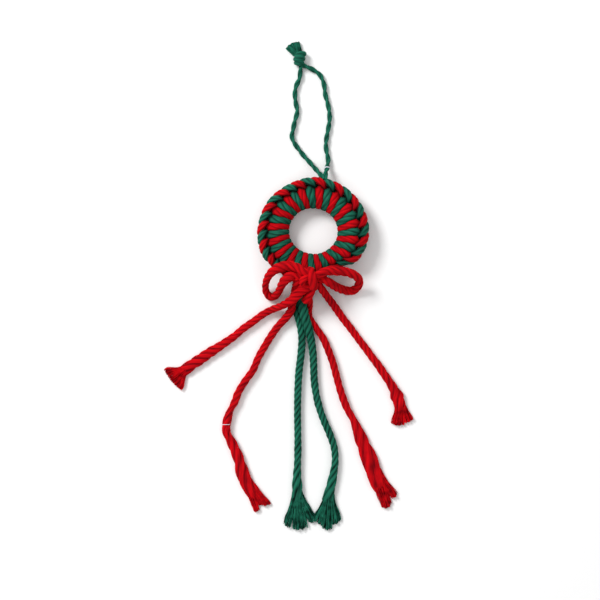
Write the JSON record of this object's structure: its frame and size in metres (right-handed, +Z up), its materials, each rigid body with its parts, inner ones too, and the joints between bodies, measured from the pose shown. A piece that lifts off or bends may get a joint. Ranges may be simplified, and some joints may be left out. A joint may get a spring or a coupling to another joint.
{
  "type": "macrame wreath ornament",
  "caption": "Small hanging ornament of knotted cotton cord: a ring of half hitches in two colours, a bow at its foot, loose tails with frayed ends and a thin hanging loop.",
  "frame": {"origin": "under the middle of the wreath, on the surface that the ornament lies on", "axes": "+Z up from the surface, out of the wreath's face; +Y from the middle of the wreath to the hanging loop; +X to the right, seen from the face"},
  "size_m": [0.1164, 0.2279, 0.0184],
  "materials": {
    "red_cotton_cord": "matt twisted cotton cord, dyed red",
    "green_cotton_cord": "matt twisted cotton cord, dyed dark green",
    "sewing_thread": "matt white sewing thread"
  },
  "bodies": {
    "root": {"wreath_red_cord": "red_cotton_cord", "wreath_green_cord": "green_cotton_cord", "bow_knot": "red_cotton_cord", "bow_loop_left": "red_cotton_cord", "bow_loop_right": "red_cotton_cord", "red_tail_outer_left": "red_cotton_cord", "red_tail_inner_left": "red_cotton_cord", "red_tail_inner_right": "red_cotton_cord", "red_tail_outer_right": "red_cotton_cord", "green_tail_left": "green_cotton_cord", "green_tail_right": "green_cotton_cord", "hanging_loop_left": "green_cotton_cord", "hanging_loop_right": "green_cotton_cord", "hanging_knot": "green_cotton_cord", "thread_on_hanging_loop": "sewing_thread", "thread_on_red_tail": "sewing_thread"}
  },
  "joints": []
}
